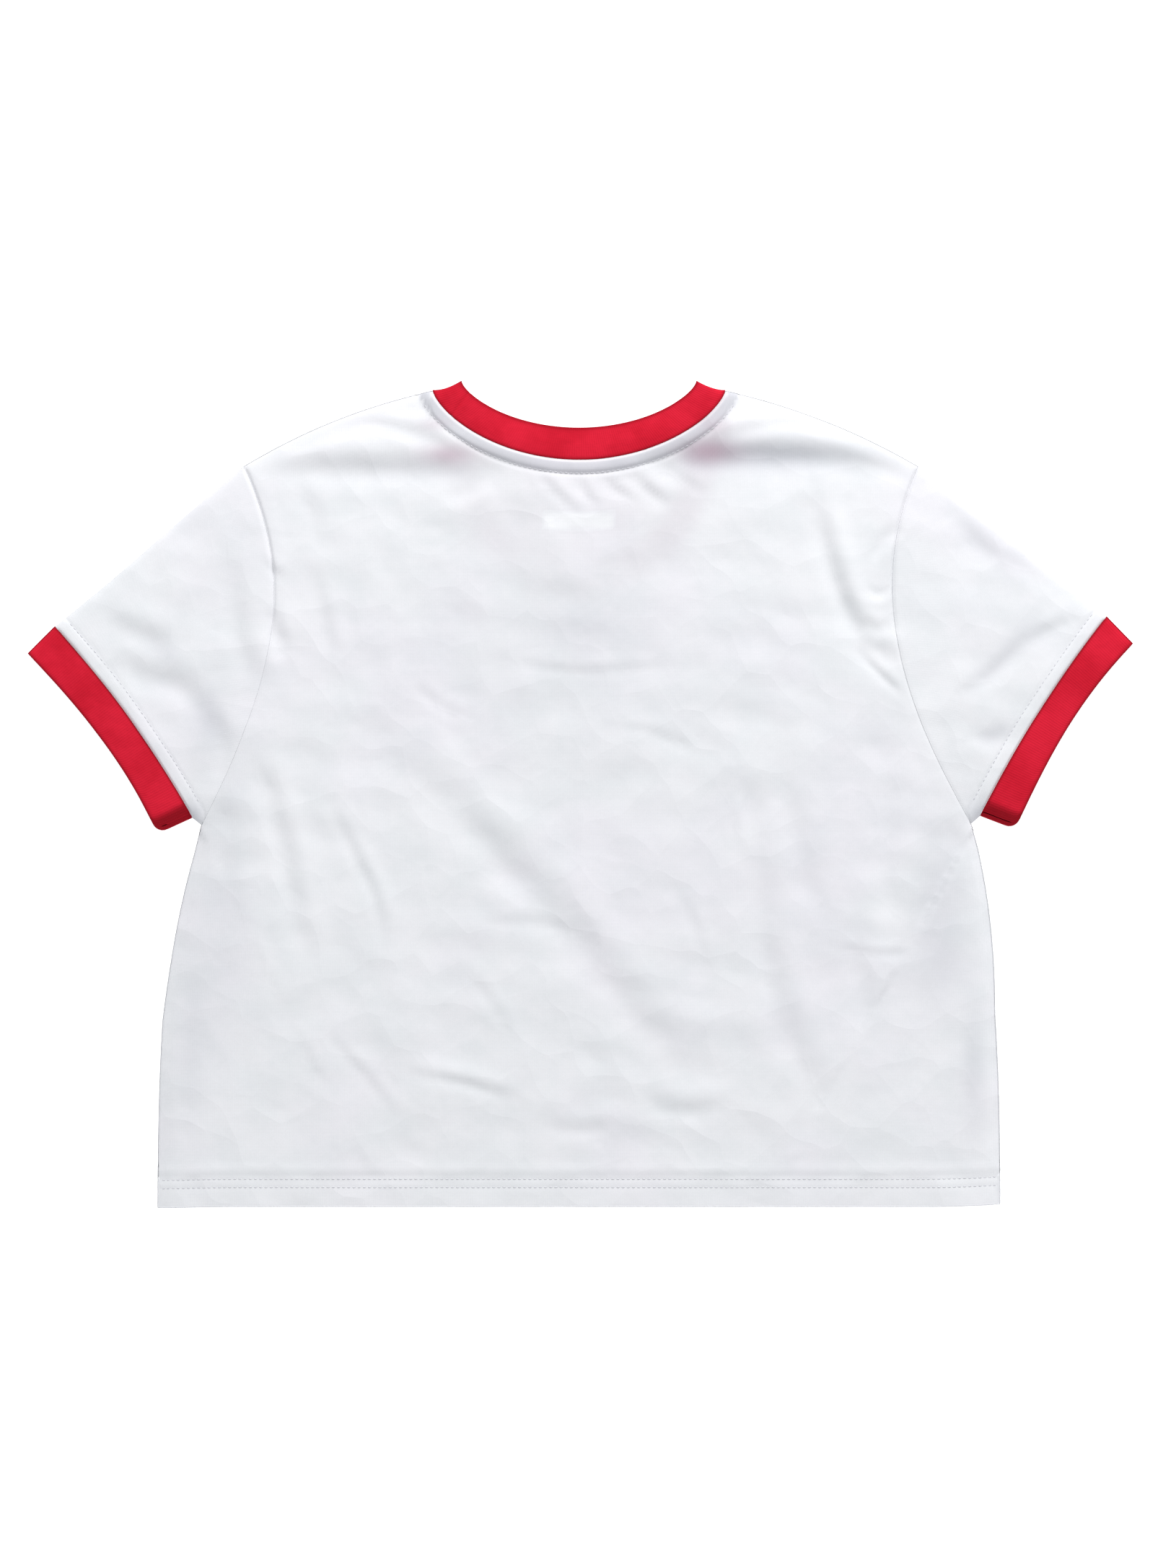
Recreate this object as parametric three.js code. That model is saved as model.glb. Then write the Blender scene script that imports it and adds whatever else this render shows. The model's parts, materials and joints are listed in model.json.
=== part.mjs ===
// A cropped ringer T-shirt: a white jersey body and set-in sleeves, with a rib neckband and rib cuffs.
// It lies flat on its front with its back up. Millimetres. +X is the wearer's right, +Y is towards the
// neck, +Z is up. The origin is the middle of the shirt's outline, on the surface that it lies on.

import * as THREE from "three";

// Body, measured flat. Heights are above the hem.
const hemHalfWidth = 253.5;
const chestHalfWidth = 231.5; // at the underarm point
const underarmHeight = 230;
const shoulderHalfWidth = 203; // shoulder tip, where the shoulder seam meets the armhole
const shoulderHeight = 445;
const shoulderBow = 5; // how far the shoulder edge bows out from a straight line
const armholeDepth = 28.5; // how far the armhole curves in behind its chord
const armholeShares = [0.3, 0.58]; // where along that chord its curve is fullest
const sideUpright = 0.64; // share of the side seam's rise over which it stands upright
const sideDrawIn = 0.81; // share of its rise where it draws in most
const sideLean = 0.48; // and how far in it is by then
const hemDepth = 18;

// Neck.
const neckHalfWidth = 88;
const neckPointHeight = 490.5; // top of the neck seam, at the shoulder
const backNeckDrop = 41.5;
const frontNeckDrop = 123.5;
const neckbandWidth = 19.5;
const neckbandRise = 5.5; // the folded band stands this far above the neck point
const neckbandLean = 17.5; // and this far in from it

// Sleeves and cuffs.
const overarmLength = 147; // shoulder tip to cuff seam, along the folded top of the sleeve
const overarmSlope = THREE.MathUtils.degToRad(39.6);
const underarmLength = 7.8;
const underarmSlope = THREE.MathUtils.degToRad(40);
const cuffWidth = 22.5;
const cuffTaper = 4.5; // the rib draws the cuff's edge in by this much at each end
const cuffSeamBow = 4;
const cuffEdgeBow = 6;
const foldLineAtTop = 8; // where the sleeve's fold line crosses the top of the sleeve, from the shoulder tip
const foldLineAtUnderarm = 3;

// Cloth, thread and labels.
const jersey = 0.8;
const rib = 1.6; // two layers of rib knit
const seamWidth = 5;
const seamInset = 1.5; // from the seamed edge to the overlocked strip inside it
const seamThickness = 0.6;
const tapeWidth = 9;
const tapeThickness = 0.5;
const threadWidth = 0.6;
const threadThickness = 0.3;
const neckStitchInset = 7.5; // topstitching, from the neck seam
const cuffStitchInset = 7.5; // topstitching, from the cuff seam
const hemRowInset = 1.5; // upper needle row of the hem, from the fold's raw edge
const hemRowGap = 5; // and on to the lower needle row
const backRowEnd = 2; // the rows stop this far from the side seams
const frontRowEnd = 12;
const neckLabel = { width: 52, height: 24, below: 26, thickness: 0.4 };
const careLabel = { width: 26, height: 42, above: 96, thickness: 0.4 };

// How the layers lie.
const gap = 0.3; // between pieces that touch
const loft = 7.6; // how far the upper layer rises away from its seamed edges
const loftReach = 45; // distance from an edge over which it rises
const neckSlack = 8; // the neck, hem and cuffs are open edges, which stay raised
const hemSlack = 25;
const cuffSlack = 20;
const hemBlend = 12;

// ---- Plan of the shirt, right half; the left half is its mirror ----

const point = (x, y) => new THREE.Vector2(x, y);
const mix = (a, b, t) => a.clone().lerp(b, t);
const toward = (from, distance, angle) =>
  point(from.x + distance * Math.cos(angle), from.y + distance * Math.sin(angle));

const hemY = -(neckPointHeight + neckbandRise) / 2;
const hemCorner = point(hemHalfWidth, hemY);
const underarm = point(chestHalfWidth, hemY + underarmHeight);
const shoulderTip = point(shoulderHalfWidth, hemY + shoulderHeight);
const neckPoint = point(neckHalfWidth, hemY + neckPointHeight);

// The side seam stands upright over its lower part, then draws in to the underarm.
const sideSeam = new THREE.CubicBezierCurve(
  hemCorner,
  point(hemHalfWidth, mix(hemCorner, underarm, sideUpright).y),
  point(mix(hemCorner, underarm, sideLean).x, mix(hemCorner, underarm, sideDrawIn).y),
  underarm,
);
// A cubic curve whose two inner points stand this far off its chord bows out by three quarters of that.
const armholeControl = (t) => mix(shoulderTip, underarm, t).sub(point((armholeDepth * 4) / 3, 0));
const [upperControl, lowerControl] = armholeShares.map(armholeControl);
const armhole = new THREE.CubicBezierCurve(shoulderTip, upperControl, lowerControl, underarm);
const shoulderNormal = point(
  neckPoint.y - shoulderTip.y,
  shoulderTip.x - neckPoint.x,
).normalize();
const shoulderSeam = new THREE.QuadraticBezierCurve(
  neckPoint,
  mix(neckPoint, shoulderTip, 0.5).addScaledVector(shoulderNormal, 2 * shoulderBow),
  shoulderTip,
);

// A neck edge hangs between two shoulder points as a power of a cosine: below 1 it is a U, above 1 a V.
class NeckEdge extends THREE.Curve {
  constructor(halfWidth, top, drop, power) {
    super();
    Object.assign(this, { halfWidth, top, drop, power });
  }
  getPoint(t) {
    const turn = Math.PI * (t - 0.5);
    const hang = Math.max(Math.cos(turn), 0) ** this.power;
    return point(this.halfWidth * Math.sin(turn), this.top - this.drop * hang);
  }
}
const backPower = 1.4;
const frontPower = 0.84;
const bandTop = neckPoint.y + neckbandRise;
const bandHalfWidth = neckHalfWidth - neckbandLean;
const bandDrop = (drop) => drop + neckbandRise - neckbandWidth;
const backNeck = new NeckEdge(neckHalfWidth, neckPoint.y, backNeckDrop, backPower);
const frontNeck = new NeckEdge(neckHalfWidth, neckPoint.y, frontNeckDrop, frontPower);
const backBand = new NeckEdge(bandHalfWidth, bandTop, bandDrop(backNeckDrop), backPower);
const frontBand = new NeckEdge(bandHalfWidth, bandTop, bandDrop(frontNeckDrop), frontPower);

// The sleeve runs from the armhole to the cuff seam. Its fold line is straight, just outside the armhole.
const overarm = (distance) => toward(shoulderTip, distance, -overarmSlope);
const underarmLine = (distance) => toward(underarm, distance, underarmSlope);
const foldTop = overarm(foldLineAtTop);
const foldBottom = underarmLine(foldLineAtUnderarm);
const foldNormal = point(foldTop.y - foldBottom.y, foldBottom.x - foldTop.x).normalize();
const cuffTop = overarm(overarmLength);
const cuffBottom = underarmLine(underarmLength);
const cuffRun = cuffBottom.clone().sub(cuffTop).normalize();
const cuffNormal = point(-cuffRun.y, cuffRun.x);
const edgeTop = cuffTop
  .clone()
  .addScaledVector(cuffNormal, cuffWidth)
  .addScaledVector(cuffRun, cuffTaper);
const edgeBottom = cuffBottom
  .clone()
  .addScaledVector(cuffNormal, cuffWidth)
  .addScaledVector(cuffRun, -cuffTaper);
const bowed = (a, b, bow) => (c) => mix(a, b, c).addScaledVector(cuffNormal, -4 * bow * c * (1 - c));
const cuffSeam = bowed(cuffTop, cuffBottom, cuffSeamBow);
const cuffEdge = bowed(edgeTop, edgeBottom, cuffEdgeBow);
const foldLine = (c) => mix(foldTop, foldBottom, c);
const armholeEdge = (c) => armhole.getPointAt(c);
const foldUp = foldTop.clone().sub(foldBottom).normalize();

// ---- Height of the upper layer ----

function distanceToPath(p, path) {
  let nearest = Infinity;
  for (let i = 1; i < path.length; i++) {
    const along = path[i].clone().sub(path[i - 1]);
    const from = p.clone().sub(path[i - 1]);
    const t = THREE.MathUtils.clamp(from.dot(along) / along.lengthSq(), 0, 1);
    nearest = Math.min(nearest, from.distanceTo(along.multiplyScalar(t)));
  }
  return nearest;
}
const curveSteps = 16;
const topPath = [...shoulderSeam.getPoints(curveSteps), cuffTop, edgeTop];
const sidePath = [...sideSeam.getPoints(curveSteps), cuffBottom, edgeBottom];
const neckPath = backNeck.getPoints(2 * curveSteps);
const cuffPath = [edgeTop, edgeBottom];

function rise(p) {
  const right = point(Math.abs(p.x), p.y);
  const inside = Math.min(
    distanceToPath(right, topPath),
    distanceToPath(right, sidePath),
    distanceToPath(right, neckPath) + neckSlack,
    distanceToPath(right, cuffPath) + cuffSlack,
    p.y - hemY + hemSlack,
  );
  const flat = 1 - Math.min(inside / loftReach, 1);
  return loft * (1 - flat * flat);
}
// The underside of the upper layer, where both layers are this thick.
const upperUnderside = (p, thickness) => thickness + gap + rise(p);
// Both hems are doubled, so the back is lifted over them where the layers lie close.
const hemLift = (p) =>
  2 * jersey * THREE.MathUtils.smoothstep(hemY + hemDepth + hemBlend - p.y, 0, hemBlend);
const panelTop = (p) => upperUnderside(p, jersey) + jersey + hemLift(p) * (1 - rise(p) / loft);
const doubled = (p) => (p.y - hemY <= hemDepth + gap ? 2 * jersey : jersey);

// ---- Solids ----

const even = (n) => Array.from({ length: n + 1 }, (_, i) => i / n);
const denseEnds = (n) => even(n).map((t) => (1 - Math.cos(Math.PI * t)) / 2);
// Pieces that meet along a seam share their stations on it.
const neckStations = even(18);
const armholeStations = denseEnds(12);

// A thin closed sheet: a box whose top and bottom grids are laid on plan(u, v), between two heights.
function sheet({ plan, bottom, top, us, vs }) {
  const box = new THREE.BoxGeometry(1, 1, 1, us.length - 1, vs.length - 1, 1);
  const position = box.attributes.position;
  for (let i = 0; i < position.count; i++) {
    const u = us[Math.round((position.getX(i) + 0.5) * (us.length - 1))];
    const v = vs[Math.round((position.getY(i) + 0.5) * (vs.length - 1))];
    const p = plan(u, v);
    position.setXYZ(i, p.x, p.y, position.getZ(i) > 0 ? top(p) : bottom(p));
  }
  box.computeVertexNormals();
  return box;
}

// A flattened tube with a wall: a lathed ring pressed flat. Across runs from one folded end to the other,
// over the upper layer and back along the lower one; along runs from one open mouth to the other.
function flatTube({ upper, lower = upper, underside, floor = 0, wall, across, along }) {
  const outer = along.map((s) => point(2, s));
  const inner = along.map((s) => point(1, s)).reverse();
  const ring = new THREE.LatheGeometry([...outer, ...inner, outer[0]], 2 * across.length);
  const position = ring.attributes.position;
  const profile = outer.length + inner.length + 1;
  // The inside of the wall stops short of each folded end by the wall's thickness.
  const walled = (plan, c, s) => {
    const next = { [across[0]]: across[1], [across.at(-1)]: across.at(-2) }[c] ?? c;
    const end = plan(c, s);
    return end.addScaledVector(plan(next, s).sub(end).normalize(), next === c ? 0 : wall);
  };
  for (let i = 0; i < position.count; i++) {
    const turn = Math.floor(i / profile) % (2 * across.length);
    const isUpper = turn < across.length;
    const c = across[isUpper ? turn : 2 * across.length - 1 - turn];
    const s = position.getY(i);
    const isOuter = Math.hypot(position.getX(i), position.getZ(i)) > 1.5;
    const plan = isUpper ? upper : lower;
    const p = isOuter ? plan(c, s) : walled(plan, c, s);
    const under = isUpper ? underside(plan(c, 0), p) : floor;
    position.setXYZ(i, p.x, p.y, under + (isOuter === isUpper ? wall : 0));
  }
  ring.computeVertexNormals();
  return ring;
}

// A strip beside a curve, between two shares of its length and two distances to the left of it.
const between = (t, from, to) => THREE.MathUtils.lerp(from, to, t);
const besideCurve = (curve, [start, end], [from, to]) => (u, v) => {
  const along = between(u, start, end);
  const tangent = curve.getTangentAt(along);
  return curve.getPointAt(along).addScaledVector(point(-tangent.y, tangent.x), between(v, from, to));
};

// ---- Colours ----

const cloth = (color, roughness) => new THREE.MeshStandardMaterial({ color, roughness, metalness: 0 });
const whiteJersey = cloth(0xebedf1, 0.92);
const redRib = cloth(0xcf2838, 0.88);
const whiteThread = cloth(0xf2f3f5, 0.75);
const satin = cloth(0xf6f6f4, 0.5);

const shirt = new THREE.Group();
function add(parent, name, geometry, material) {
  const mesh = new THREE.Mesh(geometry, material);
  mesh.name = name;
  parent.add(mesh);
}

// ---- Front and back panels ----

// A panel is ruled from its hem up to its shoulders and neck. The curve of the side seam and the armhole
// is then added at each side, fading out over the width of the shoulder.
function panelPlan(neck) {
  const shoulderShare = (shoulderHalfWidth - neckHalfWidth) / (2 * shoulderHalfWidth);
  const sideShare = underarmHeight / shoulderHeight;
  const side = (v) =>
    v < sideShare
      ? sideSeam.getPointAt(v / sideShare)
      : armhole.getPointAt((1 - v) / (1 - sideShare));
  const shoulder = (t) => shoulderSeam.getPointAt(THREE.MathUtils.clamp(t, 0, 1));
  const mirror = (p) => point(-p.x, p.y);
  const top = (u) => {
    if (u < shoulderShare) return mirror(shoulder(1 - u / shoulderShare));
    if (u > 1 - shoulderShare) return shoulder(1 - (1 - u) / shoulderShare);
    return neck.getPointAt((u - shoulderShare) / (1 - 2 * shoulderShare));
  };
  const plan = (u, v) => {
    const curve = side(v).sub(mix(hemCorner, shoulderTip, v));
    const fromRight = Math.max(1 - (1 - u) / shoulderShare, 0);
    const fromLeft = Math.max(1 - u / shoulderShare, 0);
    return mix(mix(mirror(hemCorner), hemCorner, u), top(u), v)
      .addScaledVector(curve, fromRight)
      .addScaledVector(mirror(curve), fromLeft);
  };
  const shoulderColumns = even(7).map((t) => shoulderShare * t ** 1.5);
  const neckColumns = neckStations.map((c) => shoulderShare + (1 - 2 * shoulderShare) * c);
  const us = [
    ...shoulderColumns,
    ...neckColumns.slice(1),
    ...shoulderColumns.slice(0, -1).map((u) => 1 - u).reverse(),
  ];
  const hemRows = [0, hemDepth, hemDepth + 2].map((y) => y / shoulderHeight);
  const sideRows = even(7).map((t) => mix(point(0, hemRows[2]), point(0, sideShare), t).y);
  const armRows = armholeStations.map((c) => 1 - (1 - sideShare) * c).reverse();
  return { plan, us, vs: [...hemRows, ...sideRows.slice(1), ...armRows.slice(1)] };
}
add(
  shirt,
  "front_panel",
  sheet({ ...panelPlan(frontNeck), bottom: () => 0, top: doubled }),
  whiteJersey,
);
add(
  shirt,
  "back_panel",
  sheet({ ...panelPlan(backNeck), bottom: (p) => panelTop(p) - doubled(p), top: panelTop }),
  whiteJersey,
);

// ---- Neckband, its tape and seam, and its topstitching ----

// The strips along a seam stop short of its ends, by these shares of its length.
const tapeEnd = 0.12;
const neckSeamEnd = 0.06;
const neckStitchEnd = 0.03;

// The band's seam edge lies just inside the panels' neck edge. Its folded ends are upright, so they stay
// clear of the stretch over which the back neck edge curves in.
const curvedIn = backNeck.getPointAt(1 - (2 * rib) / backNeck.getLength());
const bandSeam = (drop, power) => new NeckEdge(curvedIn.x - gap, neckPoint.y, drop - gap, power);
const bandPlan = (seam, edge) => (c, s) => mix(seam.getPointAt(c), edge.getPointAt(c), s);
add(
  shirt,
  "neckband",
  flatTube({
    upper: bandPlan(bandSeam(backNeckDrop, backPower), backBand),
    lower: bandPlan(bandSeam(frontNeckDrop, frontPower), frontBand),
    underside: (seamPoint) => upperUnderside(seamPoint, rib),
    wall: rib,
    across: neckStations,
    along: even(2),
  }),
  redRib,
);

const hung = (thickness) => ({
  bottom: (p) => panelTop(p) - jersey - gap - thickness,
  top: (p) => panelTop(p) - jersey - gap,
});
const laid = (thickness) => ({ bottom: () => jersey + gap, top: () => jersey + gap + thickness });
const onTop = { bottom: (p) => panelTop(p) + gap, top: (p) => panelTop(p) + gap + threadThickness };
const neckStrip = (edge, from, width, end) =>
  besideCurve(edge, [end, 1 - end], [-from - width, -from]);

add(
  shirt,
  "neck_tape",
  sheet({
    plan: neckStrip(backNeck, seamInset, tapeWidth, tapeEnd),
    ...hung(tapeThickness),
    us: even(20),
    vs: even(1),
  }),
  whiteThread,
);
add(
  shirt,
  "front_neck_seam",
  sheet({
    plan: neckStrip(frontNeck, seamInset, seamWidth, neckSeamEnd),
    ...laid(seamThickness),
    us: even(24),
    vs: even(1),
  }),
  whiteThread,
);
add(
  shirt,
  "neck_topstitch",
  sheet({
    plan: neckStrip(backNeck, neckStitchInset, threadWidth, neckStitchEnd),
    ...onTop,
    us: even(28),
    vs: even(1),
  }),
  whiteThread,
);

// ---- Labels, both blank ----

const labelTop = neckPoint.y - backNeckDrop - neckLabel.below;
add(
  shirt,
  "neck_label",
  sheet({
    plan: (u, v) => point((u - 0.5) * neckLabel.width, labelTop - (1 - v) * neckLabel.height),
    ...hung(neckLabel.thickness),
    us: even(4),
    vs: even(2),
  }),
  satin,
);
// The care label is caught in the left side seam; this is its mirror, as all the side pieces are.
const careStart = careLabel.above / sideSeam.getLength();
const careEnd = (careLabel.above + careLabel.width) / sideSeam.getLength();
const careInset = seamInset + seamWidth + gap;
const careLabelPiece = sheet({
  plan: besideCurve(sideSeam, [careStart, careEnd], [careInset, careInset + careLabel.height]),
  ...laid(careLabel.thickness),
  us: even(2),
  vs: even(2),
});

// ---- Hem stitching: two needle rows on the back, and the covering threads inside the front ----

const hemRow = (height, width, margin) => (u, v) =>
  point(between(u, -1, 1) * (hemHalfWidth - margin), hemY + height + v * width);
const hemRowTop = hemDepth - hemRowInset;
const hemRows = { upper: hemRowTop, lower: hemRowTop - hemRowGap };
for (const [row, height] of Object.entries(hemRows)) {
  add(
    shirt,
    "back_hem_stitch_" + row,
    sheet({ plan: hemRow(height, threadWidth, backRowEnd), ...onTop, us: denseEnds(30), vs: even(1) }),
    whiteThread,
  );
}
add(
  shirt,
  "front_hem_stitch",
  sheet({
    plan: hemRow(hemRows.lower, hemRowGap + threadWidth, frontRowEnd),
    bottom: (p) => doubled(p) + gap,
    top: (p) => doubled(p) + gap + threadThickness,
    us: even(12),
    vs: even(1),
  }),
  whiteThread,
);

// ---- Both sides: seams, sleeve, cuff ----

const ruled = (from, to) => (c, s) => mix(from(c), to(c), s);
const shifted = (edge, normal, distance) => (c) => edge(c).addScaledVector(normal, distance);
const outward = point(1, 0);
const capStart = shifted(armholeEdge, outward, gap);
const capEnd = shifted(foldLine, foldNormal, -gap / 2);
const tubeStart = shifted(foldLine, foldNormal, gap / 2);
const tubeEnd = shifted(cuffSeam, cuffNormal, -gap / 2);
const cuffStart = shifted(cuffSeam, cuffNormal, gap / 2);

const bySelf = (thickness) => (seamPoint, p) => upperUnderside(p, thickness);
const below = (thickness) => (seamPoint, p) => upperUnderside(p, jersey) - 2 * gap - thickness;
const sleevePiece = (from, to, along) =>
  flatTube({
    upper: ruled(from, to),
    underside: bySelf(jersey),
    wall: jersey,
    across: armholeStations,
    along: even(along),
  });
// A ring of overlocked seam inside the two layers, on one side of a seam line, clear of both folded ends.
const seamRing = (edge, inward, ends) =>
  flatTube({
    upper: ruled(
      (c) => shifted(edge, inward, seamInset + seamWidth)(between(c, ends, 1 - ends)),
      (c) => shifted(edge, inward, seamInset)(between(c, ends, 1 - ends)),
    ),
    underside: below(seamThickness),
    floor: jersey + gap,
    wall: seamThickness,
    across: armholeStations,
    along: even(1),
  });
const wedge = {
  bottom: () => jersey + gap,
  top: (p) => Math.min(jersey + gap + 2 * seamThickness, upperUnderside(p, jersey) - gap),
};
const seamStrip = (curve, shares, [from, to], steps) =>
  sheet({ plan: besideCurve(curve, shares, [from, to]), ...wedge, us: even(steps), vs: even(1) });
const seamOuter = seamInset + seamWidth;
const stitchLine = shifted(cuffSeam, cuffNormal, -cuffStitchInset);
// Shares of its length that a row or strip leaves out at each end of its seam.
const cuffStitchEnd = 0.03;
const armholeSeamEnd = 0.07;
const cuffSeamEnd = 0.08;
const underarmSeamEnds = [0.1, 0.7];
const shoulderSeamEnds = [0.06, 0.97];
const cuffStitch = sheet({
  plan: (u, v) =>
    stitchLine(between(u, cuffStitchEnd, 1 - cuffStitchEnd)).addScaledVector(cuffNormal, v * threadWidth),
  ...onTop,
  us: denseEnds(24),
  vs: even(1),
});
const underarmSeam = sheet({
  plan: (u, v) =>
    mix(tubeStart(1), tubeEnd(1), between(u, ...underarmSeamEnds)).addScaledVector(
      foldUp,
      between(v, seamInset, seamOuter),
    ),
  ...wedge,
  us: even(2),
  vs: even(1),
});
// The side seam's strip starts just above the hem.
const sideSeamEnds = [(hemDepth + seamInset) / sideSeam.getLength(), 0.97];
const sidePieces = [
  ["shoulder_seam", seamStrip(shoulderSeam, shoulderSeamEnds, [-seamOuter, -seamInset], 8), whiteThread],
  ["side_seam", seamStrip(sideSeam, sideSeamEnds, [seamInset, seamOuter], 14), whiteThread],
  ["armhole_seam", seamRing(armholeEdge, outward.clone().negate(), armholeSeamEnd), whiteThread],
  ["sleeve_cap", sleevePiece(capStart, capEnd, 2), whiteJersey],
  ["sleeve", sleevePiece(tubeStart, tubeEnd, 6), whiteJersey],
  ["underarm_seam", underarmSeam, whiteThread],
  ["cuff_seam", seamRing(tubeEnd, cuffNormal.clone().negate(), cuffSeamEnd), whiteThread],
  ["cuff_topstitch", cuffStitch, whiteThread],
  [
    "cuff",
    flatTube({
      upper: ruled(cuffStart, cuffEdge),
      underside: bySelf(rib),
      wall: rib,
      across: armholeStations,
      along: even(2),
    }),
    redRib,
  ],
];
for (const [side, direction] of [
  ["left", -1],
  ["right", 1],
]) {
  const group = new THREE.Group();
  group.scale.x = direction;
  shirt.add(group);
  for (const [name, geometry, material] of sidePieces) {
    add(group, side + "_" + name, geometry, material);
  }
  if (side === "left") add(group, "care_label", careLabelPiece, satin);
}

export default shirt;
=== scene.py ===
# A cropped ringer T-shirt lying flat on its front: white cotton jersey, red rib neckband and cuffs.
# The cloth is in millimetres until a mesh is made; the camera, the lamps and the materials are in metres.
# +X is the wearer's right, +Y the neck, +Z up.
import json

import bpy
import numpy as np
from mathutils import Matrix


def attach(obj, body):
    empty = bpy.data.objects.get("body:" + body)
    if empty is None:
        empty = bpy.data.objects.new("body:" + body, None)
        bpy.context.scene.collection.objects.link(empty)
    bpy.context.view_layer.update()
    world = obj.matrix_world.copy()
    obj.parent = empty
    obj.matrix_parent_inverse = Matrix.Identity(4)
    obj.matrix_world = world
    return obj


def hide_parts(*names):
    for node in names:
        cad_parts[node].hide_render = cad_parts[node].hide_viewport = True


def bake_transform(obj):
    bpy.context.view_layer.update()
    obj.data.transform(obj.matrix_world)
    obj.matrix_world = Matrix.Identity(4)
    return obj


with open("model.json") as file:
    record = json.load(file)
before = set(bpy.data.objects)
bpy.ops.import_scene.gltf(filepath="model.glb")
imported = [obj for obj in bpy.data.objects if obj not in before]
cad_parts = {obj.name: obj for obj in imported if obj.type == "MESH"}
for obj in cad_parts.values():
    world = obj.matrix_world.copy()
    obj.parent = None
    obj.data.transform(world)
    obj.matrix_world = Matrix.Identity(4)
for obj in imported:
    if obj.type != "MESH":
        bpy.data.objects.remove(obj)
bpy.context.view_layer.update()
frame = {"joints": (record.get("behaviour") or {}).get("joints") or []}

# ---- Table, light and camera ----
# The shirt lies on a white table under soft daylight that comes mostly from beyond the neck,
# and it is seen from straight above.
scene = bpy.context.scene
scene.view_settings.view_transform = "Standard"
camera = bpy.data.objects.new("camera", bpy.data.cameras.new("camera"))
camera.data.lens = 85
camera.data.sensor_width = 36
camera.location = (0, 0.0059, 2.231)
scene.collection.objects.link(camera)
scene.camera = camera

world = bpy.data.worlds.new("daylight")
world.use_nodes = True
world.node_tree.nodes["Background"].inputs["Color"].default_value = (0.97, 0.985, 1.0, 1)
world.node_tree.nodes["Background"].inputs["Strength"].default_value = 0.65
scene.world = world


def window(name, place, size, power):
    """A square area light at this place, turned to face the shirt's middle."""
    lamp = bpy.data.objects.new(name, bpy.data.lights.new(name, "AREA"))
    lamp.data.shape = "SQUARE"
    lamp.data.size = size
    lamp.data.energy = power
    lamp.location = place
    aim = lamp.location.copy()
    aim.negate()
    lamp.rotation_euler = aim.to_track_quat("-Z", "Y").to_euler()
    scene.collection.objects.link(lamp)


window("window", (0.55, 2.0, 1.4), 1.5, 49)
window("room", (-0.9, -1.9, 2.2), 1.8, 6)


class Signal:
    """A node's output. Its operators add Math nodes, and make() adds any other node beside it."""

    def __init__(self, socket):
        self.socket = socket

    def make(self, kind, settings=(), inputs=(), output=0):
        """A new node: its settings first, then a number, a colour or a link for each input."""
        tree = self.socket.id_data
        node = tree.nodes.new(kind)
        for name, value in dict(settings).items():
            if name == "stops":
                for _ in value[2:]:
                    node.color_ramp.elements.new(0.5)
                for stop, (place, colour) in zip(node.color_ramp.elements, value):
                    stop.position = place
                    stop.color = colour
            else:
                setattr(node, name, value)
        for name, value in dict(inputs).items():
            if isinstance(value, Signal):
                tree.links.new(value.socket, node.inputs[name])
            else:
                node.inputs[name].default_value = value
        return Signal(node.outputs[output])

    def maths(self, operation, *values):
        return self.make("ShaderNodeMath", {"operation": operation}, dict(enumerate(values)))

    def __add__(self, other):
        return self.maths("ADD", self, other)

    def __rsub__(self, other):
        return self.maths("SUBTRACT", other, self)

    def __mul__(self, other):
        return self.maths("MULTIPLY", self, other)

    def __abs__(self):
        return self.maths("ABSOLUTE", self)

    def sine(self):
        return self.maths("SINE", self)

    def ramp(self, low, high):
        """0 below low, 1 above high, and smooth between them."""
        inputs = {"Value": self, "From Min": low, "From Max": high}
        return self.make("ShaderNodeMapRange", {"interpolation_type": "SMOOTHSTEP"}, inputs)

    def tint(self, first, second, how="MIX"):
        """The first colour where this signal is 0 or less, and the second where it is 1 or more. Sockets 6
        and 7 of a Mix node are its two colours."""
        inputs = {"Factor": self.maths("MAXIMUM", self, 0.0), 6: first, 7: second}
        return self.make("ShaderNodeMix", {"data_type": "RGBA", "blend_type": how}, inputs, output=2)


def finish(name, roughness, sheen=0.0, specular=0.2):
    """A new material and its shader, with object coordinates and the metres across and along the cloth."""
    material = bpy.data.materials.new(name)
    material.use_nodes = True
    tree = material.node_tree
    shader = tree.nodes["Principled BSDF"]
    shader.inputs["Roughness"].default_value = roughness
    shader.inputs["Specular IOR Level"].default_value = specular
    shader.inputs["Sheen Weight"].default_value = sheen
    shader.inputs["Sheen Roughness"].default_value = 0.5
    place = Signal(tree.nodes.new("ShaderNodeTexCoord").outputs["Object"])
    uv = place.make("ShaderNodeUVMap", {"uv_map": "weave"})
    split = tree.nodes.new("ShaderNodeSeparateXYZ")
    tree.links.new(uv.socket, split.inputs[0])
    return material, shader, place, Signal(split.outputs[0]), Signal(split.outputs[1])


def feed(shader, name, signal):
    """Links a signal to one of the shader's inputs."""
    shader.id_data.links.new(signal.socket, shader.inputs[name])


def noise(place, scale, detail=2.0, roughness=0.5, stretch=(1, 1, 1)):
    """Smooth random values from 0 to 1, with this many swells to the metre, stretched along an axis."""
    moved = place.make("ShaderNodeMapping", inputs={"Vector": place, "Scale": stretch})
    inputs = {"Vector": moved, "Scale": scale, "Detail": detail, "Roughness": roughness}
    return place.make("ShaderNodeTexNoise", inputs=inputs)


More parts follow.
